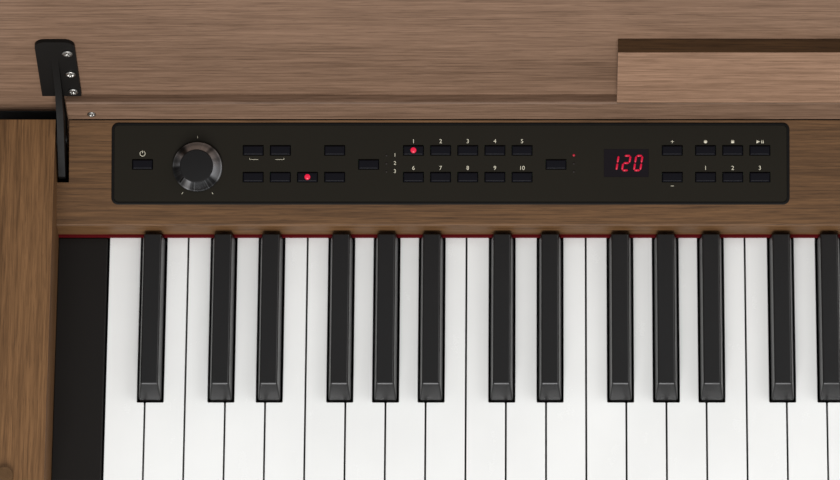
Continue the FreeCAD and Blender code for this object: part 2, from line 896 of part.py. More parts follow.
def main_board():
    y0 = lid_pivot_back + main_board_setback
    y1 = y0 + main_board_depth
    half = main_board_length / 2
    z0 = keybed_top + main_board_lift
    z1 = z0 + board_thickness
    pieces = [box(-half, half, y0, y1, z0, z1)]
    for x in (main_post_inset - half, half - main_post_inset):
        for y in (y0 + main_post_inset, y1 - main_post_inset):
            pieces.append(box(x - post_half, x + post_half, y - post_half, y + post_half, keybed_top, z0))
    for n in range(chip_count):
        x = (n - (chip_count - 1) / 2) * chip_pitch - chip_width / 2
        y = y0 + chip_inset
        pieces.append(box(x, x + chip_width, y, y + chip_width, z1, z1 + chip_height))
    return fuse(pieces)


def main():
    os.makedirs("parts", exist_ok=True)
    for name, make in (("arm", arm), ("leg", leg), ("foot", foot)):
        left, right = pair(make())
        save("left_" + name, left)
        save("right_" + name, right)
    save("floor_pads", floor_pads())
    save("stand_back", stand_back())
    save("pedal_beam", pedal_beam())
    for name, x in zip(("soft_pedal", "middle_pedal", "damper_pedal"), pedal_centres()):
        save(name, pedal(x))
    save("keybed", keybed())
    save("key_slip", key_slip())
    save("rear_panel", rear_panel())
    save("fallboard", fallboard())
    save("end_blocks", group(pair(end_block())))
    save("felt_strip", felt_strip())
    save("key_frame", key_frame())
    for name, keys in key_groups().items():
        save(name, group(keys))
    save("control_panel", control_panel())
    save("display_window", display_window())
    save("panel_lamps", panel_lamps())
    save("panel_board", panel_board())
    for name, places in button_places.items():
        save(name, group([button(c, r) for c, r in places]))
    save("volume_knob", volume_knob())
    save("lid", lid())
    save("lid_strip", lid_strip())
    save("lid_brackets", group(pair(lid_bracket())))
    save("lid_pivots", group(pair(lid_pivot())))
    save("lid_bumpers", group(pair(lid_bumper())))
    save("music_rest", music_rest())
    save("rest_ears", rest_ears())
    save("speaker_boxes", group(pair(speaker_box())))
    save("speaker_drivers", group(pair(speaker_driver())))
    save("speaker_grilles", group(pair(speaker_grille())))
    save("jack_box", jack_box())
    save("power_inlet", power_inlet())
    save("main_board", main_board())


main()
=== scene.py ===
import json
import math

import bmesh
import bpy
from bpy.props import FloatProperty, FloatVectorProperty, PointerProperty
from mathutils import Euler, Matrix, Vector


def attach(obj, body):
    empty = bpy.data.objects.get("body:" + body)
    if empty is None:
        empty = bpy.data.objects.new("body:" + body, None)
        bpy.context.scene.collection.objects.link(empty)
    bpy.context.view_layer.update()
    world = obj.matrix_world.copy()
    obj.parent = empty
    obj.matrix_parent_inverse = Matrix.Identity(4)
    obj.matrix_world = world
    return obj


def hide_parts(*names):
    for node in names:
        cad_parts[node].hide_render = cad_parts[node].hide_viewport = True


bl_info = {
    "name": "Digital Piano",
    "version": (1, 0, 0),
    "blender": (4, 5, 0),
    "location": "View3D > Sidebar > Piano",
    "description": "Dresses the frame of a home digital piano with its finishes and small pieces",
    "category": "Add Mesh",
}

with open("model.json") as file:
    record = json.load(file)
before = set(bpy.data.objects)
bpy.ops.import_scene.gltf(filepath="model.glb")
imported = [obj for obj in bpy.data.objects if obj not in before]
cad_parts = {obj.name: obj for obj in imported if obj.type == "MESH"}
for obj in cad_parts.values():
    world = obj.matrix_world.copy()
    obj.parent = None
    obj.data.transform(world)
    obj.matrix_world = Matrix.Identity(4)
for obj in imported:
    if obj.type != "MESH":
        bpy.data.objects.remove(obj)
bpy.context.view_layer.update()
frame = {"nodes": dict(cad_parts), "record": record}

MM = 0.001
BODY_OF = {node: body for body, nodes in frame["record"]["behaviour"]["bodies"].items() for node in nodes}
SLOT_OF = {part["node"]: part["material_slot"] for part in frame["record"]["subparts"]}
JOINTS = {joint["name"]: joint for joint in frame["record"]["behaviour"]["joints"]}

# Layout of the control panel in millimetres, from its left front corner
KNOB_SPOT = (49.2, 20.6)
COLUMN_PITCH = 16.0
POWER_COLUMN = 16.8
MODE_COLUMN = 82.0
TONE_COLUMN = 176.4
WINDOW_SPOT = (301.8, 23.0)
VALUE_COLUMN = 328.9
TRANSPORT_COLUMN = 348.5
UPPER_ROW = 30.5
MIDDLE_ROW = 22.2
LOWER_ROW = 14.7
LAMP_ROWS = (27.6, 22.8, 18.0)
LAMP_COLUMNS = (160.5, 270.9)
BUTTON_PROUD = 0.9
PANEL_SIZE = (396.5, 45.4)
PANEL_CORNER = 2.5
PANEL_PROUD = 0.6

# The seal round the panel: how far out and how high its section's corners lie
RIM_WIDTH = 1.5
RIM_SECTION = ((0.0, -PANEL_PROUD), (0.0, -0.05), (RIM_WIDTH, -0.35), (RIM_WIDTH, -PANEL_PROUD))
RIM_STEP = 15

# Printed marks, in millimetres
MARK_LIFT = 0.02
MARK_THICKNESS = 0.05
LABEL_RISE = 5.2
SYMBOL_HALF = 0.9
STROKE_HALF = 0.16
BRACKET_DROP = 5.4
KNOB_MARKS = (240, 90, -60)
KNOB_MARK_REACH = (17.0, 18.4)
KNOB_MARK_HALF = 0.14
POWER_RADIUS = 1.7
POWER_INSIDE = 0.78
NUMBER_DROP = 0.9
NUMBER_HEIGHT = 2.4
BANK_NUMBER_OFFSET = 5.0
BANK_NUMBER_DROP = 0.8
BANK_NUMBER_HEIGHT = 2.2
FONT_SCALE = 1.4

# The digits, as shares of their height or of their width
DIGIT_WIDTH = 0.43
DIGIT_BAR = 0.13
DIGIT_JOINT = 0.15
DIGIT_PITCH = 1.9
DIGIT_SLANT = 9
DIGITS_SHOWN = (
    ("upper_right", "lower_right"),
    ("top", "upper_right", "middle", "lower_left", "bottom"),
    ("top", "upper_left", "upper_right", "lower_left", "lower_right", "bottom"),
)

# Turned shapes: radius and height in millimetres, and for the button's lamp in radii
LAMP_DOME = ((0, 0.45), (0.4, 0.4), (0.65, 0.2), (0.75, 0.0))
LAMP_LENS = ((0, 0.4), (0.5, 0.35), (0.85, 0.18), (1, 0))
KNOB_SKIRT = ((0, 0.4), (14.0, 0.4), (14.6, 0.7), (14.6, 1.9), (14.2, 2.3), (13.7, 2.5), (9.7, 9.0), (0, 9.0))
KNOB_SHAFT = ((0, -3.2), (2.9, -3.2), (2.9, 0.4), (0, 0.4))
KNOB_CAP = ((0, 8.9), (9.8, 8.9), (9.8, 9.15), (9.5, 9.35), (9.1, 9.4), (0, 9.4))
KNOB_SIDES = 96

# The pointer on the knob's skirt
POINTER_ENDS = ((13.6, 2.66), (9.9, 8.68))
POINTER_HALF = 0.45
POINTER_TURN = 132
POINTER_SUNK = -0.08
POINTER_PROUD = 0.05

# Screw heads, in radii
SCREW_DOME = 0.42
SCREW_FALL = 0.75
SCREW_SLOT = 0.15
SCREW_CROSS = 0.62
SCREW_DEPTH = 0.4
SCREW_RINGS = 9
SCREW_SIDES = 48

# The open lid, in millimetres and degrees
LID_LEAN = 10.0
LID_OFFSET = 15.9
STRIP_FACE = 6.0
STRIP_EDGE = 9.0
STRIP_DROP = 1.2
STRIP_SCREW = (620.0, 11.4)
PLATE_FACE = 2.5
PLATE_MIDDLE = 629.5
PLATE_SCREWS = (74.0, 51.0, 31.5)
# Dark sheets at the lid's foot beside the arms: painted shade for the gap there
SHADE_SHEET_SPAN = (641.5, 685.0)
SHADE_SHEET_RISE = (-9.0, 5.2)
SHADE_SHEET_THICKNESS = 0.5

# Copies of the CAD parts
WELD_DISTANCE = 0.002
FLAT_ANGLE = 0.5
MOST_CORNERS = 8
BEVEL_ANGLE = 32

# Laminates: name, whose wood, axis of the grain, tone
WOODS = (
    ("wood_lid", "lid", "X", 1.06),
    # The strip's wood is the lid's wood in a darker tone: painted shade at the lid's foot
    ("wood_strip", "lid", "X", 0.96),
    ("wood_rest", "lid", "X", 1.5),
    # A dark copy of the wood, at tone 0.46: painted shade on the music rest's top edge and its downward faces
    ("wood_edge", "case", "X", 0.46),
    ("wood_across", "case", "X", 0.95),
    ("wood_arm", "case", "Y", 1.25),
    ("wood_lid_end", "lid", "Z", 1.06),
    ("wood_arm_end", "case", "Z", 1.2),
    ("wood_upright", "case", "Z", 1.1),
)
WOOD_GLOSS = 0.5

# The camera of the photograph
VIEW_TARGET = (-0.3525, 0.0220, 0.721)
VIEW_TILT = 0.3409
VIEW_SHIFT = -0.15
VIEW_DISTANCE = 3.2
VIEW_FOCAL_PIXELS = 5407.7
VIEW_PIXELS = 840.0
SENSOR_WIDTH = 36.0

# Lamps: name, place, what they face, size, share of the main lamp's power
LAMPS = (
    ("main_lamp", (-0.5, -2.4, 2.2), (-0.2, 0.0, 0.75), 1.4, 1.0),
    ("fill_lamp", (1.6, 0.9, 2.6), (0.0, 0.0, 0.6), 1.8, 0.3),
)
SKY_TINT = (0.96, 0.98, 1.0, 1.0)
BACKDROP = (0.90, 0.90, 0.90, 1.0)
FLOOR_HALF = 30.0

MATERIALS = {}


class Looks(bpy.types.PropertyGroup):
    """Sizes and colours that a user would change."""

    board_round: FloatProperty(name="Board edges", description="Rounding of the boards' edges",
                               default=0.8 * MM, unit="LENGTH")
    white_round: FloatProperty(name="White key edges", description="Rounding of the white keys' edges",
                               default=0.55 * MM, unit="LENGTH")
    black_round: FloatProperty(name="Black key edges", description="Rounding of the black keys' edges",
                               default=1.1 * MM, unit="LENGTH")
    metal_round: FloatProperty(name="Metal edges", description="Rounding of brackets and pedals",
                               default=0.4 * MM, unit="LENGTH")
    screw_radius: FloatProperty(name="Screw head", description="Radius of the lid's screw heads",
                                default=3.0 * MM, unit="LENGTH")
    digit_height: FloatProperty(name="Digit height", description="Height of the digits in the window",
                                default=8.6 * MM, unit="LENGTH")
    lamp_radius: FloatProperty(name="Button lamp", description="Radius of the lamp on a lit button",
                               default=1.7 * MM, unit="LENGTH")
    case_light: FloatVectorProperty(name="Case, pale", description="Pale streaks of the case's wood",
                                    default=(0.160, 0.079, 0.031), subtype="COLOR")
    case_dark: FloatVectorProperty(name="Case, dark", description="Dark streaks of the case's wood",
                                   default=(0.058, 0.0262, 0.0086), subtype="COLOR")
    lid_light: FloatVectorProperty(name="Lid, pale", description="Pale streaks of the lid's wood",
                                   default=(0.205, 0.122, 0.078), subtype="COLOR")
    lid_dark: FloatVectorProperty(name="Lid, dark", description="Dark streaks of the lid's wood",
                                  default=(0.080, 0.043, 0.024), subtype="COLOR")
    key_white: FloatVectorProperty(name="White keys", description="Colour of the white keys",
                                   default=(0.87, 0.87, 0.85), subtype="COLOR")
    key_black: FloatVectorProperty(name="Black keys", description="Colour of the black keys",
                                   default=(0.0065, 0.006, 0.006), subtype="COLOR")
    panel_black: FloatVectorProperty(name="Panel", description="Colour of the control panel",
                                     default=(0.0125, 0.0105, 0.0070), subtype="COLOR")
    felt_red: FloatVectorProperty(name="Felt", description="Colour of the felt strip",
                                  default=(0.095, 0.003, 0.005), subtype="COLOR")
    lamp_red: FloatVectorProperty(name="Lamps", description="Colour of the lamps and digits",
                                  default=(0.64, 0.004, 0.045), subtype="COLOR")
    print_cream: FloatVectorProperty(name="Print", description="Colour of the printed marks",
                                     default=(0.62, 0.58, 0.45), subtype="COLOR")
    brass: FloatVectorProperty(name="Pedals", description="Colour of the pedals",
                               default=(0.80, 0.60, 0.28), subtype="COLOR")
    floor_tone: FloatVectorProperty(name="Floor", description="Colour of the floor",
                                    default=(0.80, 0.79, 0.77), subtype="COLOR")
    sky_level: FloatProperty(name="Soft light", description="Strength of the light from all round",
                             default=0.46)
    lamp_power: FloatProperty(name="Main lamp", description="Power of the large lamp in front",
                              default=86.0, unit="POWER")


class Value:
    """A number that varies over a surface. Arithmetic on it adds Math nodes."""

    def __init__(self, finish, socket):
        self.finish = finish
        self.socket = socket

    def _math(self, operation, first, second):
        node = self.finish.node("ShaderNodeMath", {"operation": operation}, {0: first, 1: second})
        return Value(self.finish, node.outputs[0])

    def __add__(self, other):
        return self._math("ADD", self, other)

    def __sub__(self, other):
        return self._math("SUBTRACT", self, other)

    def __mul__(self, other):
        return self._math("MULTIPLY", self, other)

    __radd__ = __add__
    __rmul__ = __mul__

    def sine(self):
        return self._math("SINE", self, 0.0)

    def step(self, low, high):
        """0 below low and 1 above high, smooth between them."""
        node = self.finish.node(
            "ShaderNodeMapRange", {"interpolation_type": "SMOOTHSTEP"},
            {"Value": self, "From Min": low, "From Max": high},
        )
        return Value(self.finish, node.outputs[0])


class Finish:
    """One material, and the way its nodes are added."""

    def __init__(self, name, **constants):
        self.material = bpy.data.materials.new(name)
        self.material.use_nodes = True
        MATERIALS[name] = self.material
        self.tree = self.material.node_tree
        self.shader = self.tree.nodes["Principled BSDF"]
        self.spot = self.node("ShaderNodeTexCoord").outputs["Object"]
        self.feed(**constants)

    def join(self, socket, value):
        value = getattr(value, "socket", value)
        if isinstance(value, bpy.types.NodeSocket):
            self.tree.links.new(value, socket)
        else:
            socket.default_value = value

    def node(self, kind, settings=None, sockets=None):
        made = self.tree.nodes.new(kind)
        for key, value in (settings or {}).items():
            setattr(made, key, value)
        for key, value in (sockets or {}).items():
            self.join(made.inputs[key], value)
        return made

    def feed(self, **inputs):
        """Sets the shader's own sockets, named in small letters."""
        for key, value in inputs.items():
            name = key.replace("_", " ").title().replace("Ior", "IOR")
            self.join(self.shader.inputs[name], value)

    def axis(self, letter):
        split = self.node("ShaderNodeSeparateXYZ", sockets={0: self.spot})
        return Value(self, split.outputs[letter])

    def noise(self, scale, detail=3.0, roughness=0.55, spot=None):
        place = self.node("ShaderNodeVectorMath", {"operation": "MULTIPLY"}, {0: spot or self.spot, 1: scale})
        made = self.node("ShaderNodeTexNoise", None, {
            "Vector": place.outputs[0], "Scale": 1.0, "Detail": detail, "Roughness": roughness,
        })
        return Value(self, made.outputs[0])

    def mix(self, factor, first, second):
        made = self.node("ShaderNodeMix", {"data_type": "RGBA"}, {0: factor, 6: first, 7: second})
        return made.outputs[2]

    def bump(self, height, strength, distance):
        made = self.node("ShaderNodeBump", None, {
            "Height": height, "Strength": strength, "Distance": distance,
        })
        return made.outputs[0]


def colour(values, scale=1.0):
    return (*[v * scale for v in values], 1.0)


def wood_finish(name, pale, deep, grain, tone):
    """Satin laminate with short streaks, pores and slow bands, its grain along one axis."""
    finish = Finish(name, specular_ior_level=0.28)
    along = Vector([1.0 if letter == grain else 0.0 for letter in "XYZ"])
    across = Vector((1.0, 1.0, 1.0)) - along

    def scale(with_grain, over_grain):
        """Waves in a metre, along the grain and across it."""
        return with_grain * along + over_grain * across

    sway = finish.noise(scale(1.6, 7.0), 2.0) - 0.5
    shift = finish.node("ShaderNodeVectorMath", {"operation": "SCALE"}, {0: across, "Scale": sway * 0.008})
    bent = finish.node("ShaderNodeVectorMath", {"operation": "ADD"}, {0: finish.spot, 1: shift.outputs[0]})
    spot = bent.outputs[0]
    band = finish.noise(scale(1.2, 26.0), 3.0, 0.5, spot)
    streak = finish.noise(scale(18.0, 600.0), 4.0, 0.65, spot)
    fine = finish.noise(scale(48.0, 1700.0), 3.0, 0.6, spot)
    pore = finish.noise(scale(80.0, 1500.0), 2.0, 0.5, spot).step(0.58, 0.70)
    vein = finish.noise(scale(7.0, 250.0), 3.0, 0.6, spot).step(0.54, 0.68)
    blend = band * 1.2 + streak * 2.0 + fine * 1.3 - 1.7
    base = finish.mix(blend, colour(deep, tone), colour(pale, tone))
    veined = finish.mix(vein * 0.34, base, colour(deep, tone))
    pored = finish.mix(pore * 0.35, veined, colour(deep, tone * 0.6))
    height = streak * 0.35 + fine * 0.4 - pore * 0.8
    finish.feed(base_color=pored, roughness=WOOD_GLOSS + fine * 0.14 + pore * 0.1,
                normal=finish.bump(height, 0.22, 0.12 * MM))


def moulded_finish(name, tint, gloss, grain_size, depth, coat=0.0, wear=0.06, shine=0.5):
    """Moulded plastic or coated steel: fine grain, faint clouds and a little handling wear."""
    finish = Finish(name, coat_weight=coat, coat_roughness=0.12, specular_ior_level=shine)
    grain = finish.noise((1.0 / (grain_size * MM),) * 3, 2.0)
    cloud = finish.noise((14.0, 14.0, 14.0), 3.0)
    smear = finish.noise((90.0, 40.0, 90.0), 2.0).step(0.5, 0.8)
    shade = finish.mix(cloud * 0.5, colour(tint, 0.86), colour(tint, 1.18))
    finish.feed(base_color=shade, roughness=gloss + grain * 0.08 + smear * wear - 0.04,
                normal=finish.bump(grain, 0.25, depth * MM))


def metal_finish(name, tint, gloss, brushed=None):
    """Bare or plated metal with fine scratches, brushed along an axis where one is given."""
    finish = Finish(name, metallic=1.0)
    scale = [40.0 if letter == brushed else 900.0 for letter in "XYZ"] if brushed else (500.0,) * 3
    scratch = finish.noise(scale, 3.0)
    tarnish = finish.noise((55.0, 55.0, 55.0), 4.0).step(0.45, 0.8)
    finish.feed(base_color=finish.mix(tarnish * 0.35, colour(tint), colour(tint, 0.72)),
                roughness=gloss + scratch * 0.1 + tarnish * 0.08,
                normal=finish.bump(scratch, 0.1, 0.03 * MM))


def turned_finish(name, centre, axis, tint, gloss):
    """Turned metal with painted reflections: its colour brightens and darkens in rays round its axis,
    standing in for the streaks of light on spun metal.
    """
    finish = Finish(name, metallic=0.85)

    def vector(operation, first, second=(0.0, 0.0, 0.0)):
        return finish.node("ShaderNodeVectorMath", {"operation": operation}, {0: first, 1: second}).outputs[0]

    away = vector("SUBTRACT", finish.spot, centre)
    ray = vector("NORMALIZE", vector("SUBTRACT", away, vector("PROJECT", away, axis)))
    # Painted reflection: pale and dark rays of colour round the axis stand in for the lamps' streaky
    # highlights
    broad_painted_reflection = finish.noise((1.35, 1.35, 1.35), 1.0, 0.5, ray).step(0.47, 0.60)
    thin = finish.noise((9.0, 9.0, 9.0), 3.0, 0.6, ray)
    painted_reflection_rays = broad_painted_reflection * 0.8 + thin.step(0.5, 0.7) * 0.2
    finish.feed(base_color=finish.mix(painted_reflection_rays, colour(tint, 0.08), colour(tint, 1.1)),
                roughness=gloss + thin * 0.1, normal=finish.bump(thin, 0.1, 0.1 * MM))


def felt_finish(name, tint):
    """Pressed felt: a matted pile of short fibres."""
    finish = Finish(name, specular_ior_level=0.1)
    fibre = finish.noise((1800.0, 2600.0, 2600.0), 4.0, 0.7)
    clump = finish.noise((240.0, 420.0, 420.0), 3.0)
    pile = fibre * 0.6 + clump * 0.5 - 0.1
    finish.feed(base_color=finish.mix(pile, colour(tint, 0.55), colour(tint, 1.35)),
                roughness=0.86 + fibre * 0.12, normal=finish.bump(fibre + clump, 0.7, 0.3 * MM))


def glow_finish(name, tint, strength):
    """A lit red lens, a little paler in the middle of its grain."""
    finish = Finish(name, roughness=0.3, emission_strength=strength)
    cloud = finish.noise((900.0, 900.0, 900.0), 2.0)
    glow = finish.mix(cloud * 0.3, colour(tint), (0.9, 0.03, 0.07, 1.0))
    finish.feed(base_color=finish.mix(cloud, (0.05, 0.0, 0.0, 1.0), (0.09, 0.0, 0.0, 1.0)),
                emission_color=glow)


def board_finish(name):
    """Circuit board: green mask over fine copper tracks."""
    finish = Finish(name, coat_weight=0.3, coat_roughness=0.2)
    tracks = (finish.axis("X") * 2600.0).sine() * (finish.axis("Y") * 1500.0).sine()
    cloud = finish.noise((30.0, 30.0, 30.0), 2.0)
    green = finish.mix(cloud, (0.010, 0.080, 0.028, 1.0), (0.018, 0.120, 0.045, 1.0))
    finish.feed(base_color=finish.mix(tracks.step(0.35, 0.5) * 0.5, green, (0.06, 0.24, 0.10, 1.0)),
                roughness=0.38 + cloud * 0.1)


def prepare_finishes(looks):
    for name, wood, grain, tone in WOODS:
        wood_finish(name, getattr(looks, wood + "_light"), getattr(looks, wood + "_dark"), grain, tone)
    moulded_finish("white_key", looks.key_white, gloss=0.24, grain_size=0.8, depth=0.012, coat=0.3, wear=0.05)
    moulded_finish("black_key", looks.key_black, gloss=0.34, grain_size=0.5, depth=0.04, wear=0.10, shine=0.4)
    moulded_finish("panel", looks.panel_black, gloss=0.55, grain_size=0.30, depth=0.04, shine=0.09)
    moulded_finish("button", (0.0036, 0.0033, 0.0055), gloss=0.42, grain_size=0.30, depth=0.03, shine=0.10)
    moulded_finish("block", (0.0085, 0.0070, 0.0060), gloss=0.5, grain_size=0.6, depth=0.06, shine=0.2)
    moulded_finish("frame", (0.03, 0.03, 0.032), gloss=0.6, grain_size=0.8, depth=0.05)
    moulded_finish("steel_black", (0.0055, 0.0050, 0.0045), gloss=0.55, grain_size=0.7, depth=0.10,
                   shine=0.14)
    moulded_finish("rim", (0.0045, 0.0040, 0.0035), gloss=0.5, grain_size=0.3, depth=0.02, shine=0.1)
    # Dark rubber for the floor pads, also the colour of the painted shade sheets at the lid's foot
    moulded_finish("rubber", (0.02, 0.02, 0.02), gloss=0.8, grain_size=0.5, depth=0.1)
    moulded_finish("cone", (0.03, 0.03, 0.032), gloss=0.75, grain_size=1.2, depth=0.15)
    moulded_finish("window", (0.0085, 0.0065, 0.0085), gloss=0.2, grain_size=2.0, depth=0.002, wear=0.03,
                   shine=0.1)
    moulded_finish("print", looks.print_cream, gloss=0.6, grain_size=0.15, depth=0.01)
    moulded_finish("knob_top", (0.0080, 0.0075, 0.0075), gloss=0.55, grain_size=0.4, depth=0.06, shine=0.14)
    moulded_finish("lamp_off", (0.020, 0.016, 0.014), gloss=0.5, grain_size=0.3, depth=0.01, shine=0.15)
    knob = JOINTS["volume_turn"]
    turned_finish("knob_skirt", knob["pos_m"], knob["axis"], (0.42, 0.42, 0.43), gloss=0.34)
    metal_finish("screw", (0.34, 0.33, 0.31), gloss=0.26)
    metal_finish("brass", looks.brass, gloss=0.18, brushed="Y")
    felt_finish("felt", looks.felt_red)
    felt_finish("pad", (0.11, 0.060, 0.028))
    glow_finish("glow", looks.lamp_red, strength=1.1)
    glow_finish("digit", looks.lamp_red, strength=0.85)
    glow_finish("glow_small", looks.lamp_red, strength=0.45)
    board_finish("circuit")


def finish_object(piece, finish, body, slot, *nodes):
    """Gives a piece its material, its place on a body and the parts that it stands for."""
    piece.data.materials.clear()
    piece.data.materials.append(MATERIALS[finish])
    if nodes:
        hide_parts(*nodes)
    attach(piece, body)
    return piece


def link_form(name, form):
    """Turns a bmesh into a smooth-shaded object."""
    mesh = bpy.data.meshes.new(name)
    bmesh.ops.recalc_face_normals(form, faces=form.faces)
    form.to_mesh(mesh)
    form.free()
    mesh.shade_smooth()
    piece = bpy.data.objects.new(name, mesh)
    bpy.context.scene.collection.objects.link(piece)
    return piece


def soften(piece, width, segments=3):
    """Rounds a piece's hard edges and keeps its flats flat."""
    bevel = piece.modifiers.new("rounded_edges", "BEVEL")
    bevel.width = width
    bevel.segments = segments
    bevel.limit_method = "ANGLE"
    bevel.angle_limit = math.radians(BEVEL_ANGLE)
    bevel.miter_outer = "MITER_ARC"
    even = piece.modifiers.new("even_shading", "WEIGHTED_NORMAL")
    even.keep_sharp = False
    even.weight = 100
    return piece


def dressed(node, finish, width, segments=3):
    """A rounded, finished copy of a part that stands for it."""
    form = bmesh.new()
    form.from_mesh(frame["nodes"][node].data)
    bmesh.ops.remove_doubles(form, verts=form.verts, dist=WELD_DISTANCE * MM)
    bmesh.ops.dissolve_limit(form, angle_limit=math.radians(FLAT_ANGLE), verts=form.verts, edges=form.edges)
    bmesh.ops.triangulate(form, faces=[face for face in form.faces if len(face.verts) > MOST_CORNERS])
    piece = soften(link_form(node + "_finished", form), width, segments)
    return finish_object(piece, finish, BODY_OF[node], SLOT_OF[node], node)


def band(piece, finish, direction, along=0.9, against=-0.9):
    """Gives the faces that look along a direction, or against it, another finish."""
    piece.data.materials.append(MATERIALS[finish])
    for face in piece.data.polygons:
        lean = face.normal.dot(direction)
        if lean > along or lean < against:
            face.material_index = len(piece.data.materials) - 1


def paint(node, finish):
    """Keeps a part's own shape and gives it a material."""
    mesh = frame["nodes"][node].data
    mesh.materials.clear()
    mesh.materials.append(MATERIALS[finish])


def in_metres(points):
    return [(x * MM, y * MM) for x, y in points]


def lathe(form, profile, sides, place):
    """Adds a turned shape. The profile is (radius, height) pairs, from the axis out and back to it."""
    rings = []
    for radius, height in profile:
        count = 1 if radius == 0 else sides
        ring = []
        for n in range(count):
            turn = 2 * math.pi * n / sides
            spot = Vector((radius * math.cos(turn), radius * math.sin(turn), height))
            ring.append(form.verts.new(place @ spot))
        rings.append(ring)
    for low, high in zip(rings, rings[1:]):
        for n in range(sides):
            corners = [low[n % len(low)], low[(n + 1) % len(low)],
                       high[(n + 1) % len(high)], high[n % len(high)]]
            corners = list(dict.fromkeys(corners))
            if len(corners) > 2:
                form.faces.new(corners)


def screw_head(form, radius, place):
    """A domed head with a cross pressed into it."""
    dome, slot, arm, depth = (radius * share for share in (SCREW_DOME, SCREW_SLOT, SCREW_CROSS, SCREW_DEPTH))
    turns = [2 * math.pi * n / SCREW_SIDES for n in range(SCREW_SIDES)]
    rows = [[form.verts.new(place @ Vector((0, 0, dome - depth)))] * SCREW_SIDES]
    for k in range(1, SCREW_RINGS + 1):
        r = radius * k / SCREW_RINGS
        row = []
        for turn in turns:
            x, y = r * math.cos(turn), r * math.sin(turn)
            near, far = sorted((abs(x), abs(y)))
            z = dome * math.sqrt(1 - (r / radius) ** 2 * SCREW_FALL)
            if near < slot and far < arm:
                z -= depth * (1 - far / arm * 0.5)
            row.append(form.verts.new(place @ Vector((x, y, z))))
        rows.append(row)
    foot = [Vector((radius * math.cos(turn), radius * math.sin(turn), 0)) for turn in turns]
    rows.append([form.verts.new(place @ spot) for spot in foot])
    for low, high in zip(rows, rows[1:]):
        for n in range(SCREW_SIDES):
            m = (n + 1) % SCREW_SIDES
            form.faces.new(list(dict.fromkeys([low[n], low[m], high[m], high[n]])))
    form.faces.new(rows[-1])


def prism(form, outline, low, high, place):
    """Adds a flat shape of the outline's (x, y) points between two heights."""
    bottom = [form.verts.new(place @ Vector((x, y, low))) for x, y in outline]
    top = [form.verts.new(place @ Vector((x, y, high))) for x, y in outline]
    form.faces.new(bottom)
    form.faces.new(top)
    for n in range(len(outline)):
        m = (n + 1) % len(outline)
        form.faces.new((bottom[n], bottom[m], top[m], top[n]))


def panel_matrix(column, row, lift=0.0):
    """Where a point of the panel is, with Z square to its sloped top."""
    joint = JOINTS["volume_turn"]
    normal = Vector(joint["axis"]).normalized()
    uphill = normal.cross(Vector((1, 0, 0)))
    spot = Vector(joint["pos_m"]) + (column - KNOB_SPOT[0]) * MM * Vector((1, 0, 0))
    spot += (row - KNOB_SPOT[1]) * MM * uphill + lift * MM * normal
    turn = Matrix((Vector((1, 0, 0)), uphill, normal)).transposed().to_4x4()
    return Matrix.Translation(spot) @ turn


def lid_matrix(x, up, inward):
    """Where a point of the open lid's inner face is, with Z square to that face."""
    pivot = Vector(JOINTS["lid_swing"]["pos_m"])
    lean = math.radians(LID_LEAN)
    rise = Vector((0, math.sin(lean), math.cos(lean)))
    inside = Vector((0, -math.cos(lean), math.sin(lean)))
    foot = Vector((0, pivot.y, pivot.z)) - inside * LID_OFFSET * MM
    spot = foot + Vector((x * MM, 0, 0)) + rise * up * MM + inside * inward * MM
    turn = Matrix((Vector((1, 0, 0)), rise, inside)).transposed().to_4x4()
    return Matrix.Translation(spot) @ turn


def ring_outline(radius, start, end, count):
    """Points of an arc, both ends among them."""
    turns = [start + (end - start) * n / count for n in range(count + 1)]
    return [(radius * math.cos(turn), radius * math.sin(turn)) for turn in turns]


class PIANO_OT_case(bpy.types.Operator):
    """Finish the boards of the case and the stand"""

    bl_idname = "piano.case"
    bl_label = "Case and stand"

    def execute(self, context):
        looks = context.scene.piano_looks
        for finish, grain, end_finish, nodes in (
            ("wood_arm", (0, 1, 0), "wood_arm_end", ("left_arm", "right_arm", "left_foot", "right_foot")),
            ("wood_upright", (0, 0, 1), "wood_across", ("left_leg", "right_leg")),
            ("wood_across", (1, 0, 0), "wood_arm_end",
             ("stand_back", "keybed", "key_slip", "rear_panel", "fallboard")),
        ):
            for node in nodes:
                band(dressed(node, finish, looks.board_round), end_finish, Vector(grain))
        paint("pedal_beam", "wood_across")
        paint("floor_pads", "rubber")
        paint("lid_bumpers", "pad")
        return {"FINISHED"}


